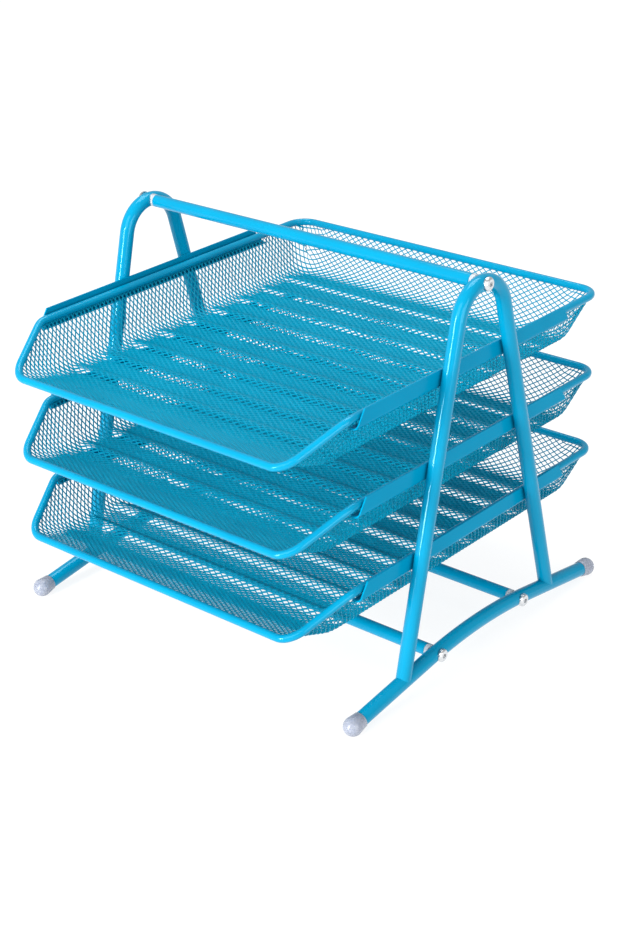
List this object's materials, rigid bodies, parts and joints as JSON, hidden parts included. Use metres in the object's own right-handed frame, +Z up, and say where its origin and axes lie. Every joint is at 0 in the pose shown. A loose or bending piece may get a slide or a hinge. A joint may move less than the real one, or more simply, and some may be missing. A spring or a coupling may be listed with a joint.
{
  "type": "three-tier document rack",
  "caption": "Desk rack of bent steel tube with mesh trays in tiers, each tray sliding forward on a pair of side rails.",
  "frame": {"origin": "on the desk, below the middle of the trays", "axes": "+X to the right, +Y to the rear, +Z up; the trays open and slide towards -Y"},
  "size_m": [0.299, 0.3104, 0.2635],
  "materials": {
    "blue_tube": "glossy powder coat",
    "blue_mesh": "glossy powder coat on expanded metal",
    "milky_plastic": "milky translucent",
    "plated_steel": "bright zinc plate"
  },
  "bodies": {
    "frame": {"side_frame_left": "blue_tube", "side_frame_right": "blue_tube", "foot_bar_left": "blue_tube", "foot_bar_right": "blue_tube", "foot_cap_front_left": "milky_plastic", "foot_cap_front_right": "milky_plastic", "foot_cap_rear_left": "milky_plastic", "foot_cap_rear_right": "milky_plastic", "top_crossbar": "blue_tube", "front_crossbar": "blue_tube", "rear_crossbar": "blue_tube", "saddle_washers": "milky_plastic", "crossbar_screws": "plated_steel", "threaded_inserts": "plated_steel", "rail_left_bottom": "blue_tube", "rail_left_middle": "blue_tube", "rail_left_top": "blue_tube", "rail_right_bottom": "blue_tube", "rail_right_middle": "blue_tube", "rail_right_top": "blue_tube"},
    "tray_bottom": {"tray_bottom_pan": "blue_mesh", "tray_bottom_rim": "blue_tube"},
    "tray_middle": {"tray_middle_pan": "blue_mesh", "tray_middle_rim": "blue_tube"},
    "tray_top": {"tray_top_pan": "blue_mesh", "tray_top_rim": "blue_tube"}
  },
  "joints": [
    {"name": "tray_bottom_slide", "type": "slide", "parent": "frame", "child": "tray_bottom", "axis": [0, -1, 0], "range_m": [0, 0.18]},
    {"name": "tray_middle_slide", "type": "slide", "parent": "frame", "child": "tray_middle", "axis": [0, -1, 0], "range_m": [0, 0.18]},
    {"name": "tray_top_slide", "type": "slide", "parent": "frame", "child": "tray_top", "axis": [0, -1, 0], "range_m": [0, 0.18]}
  ]
}
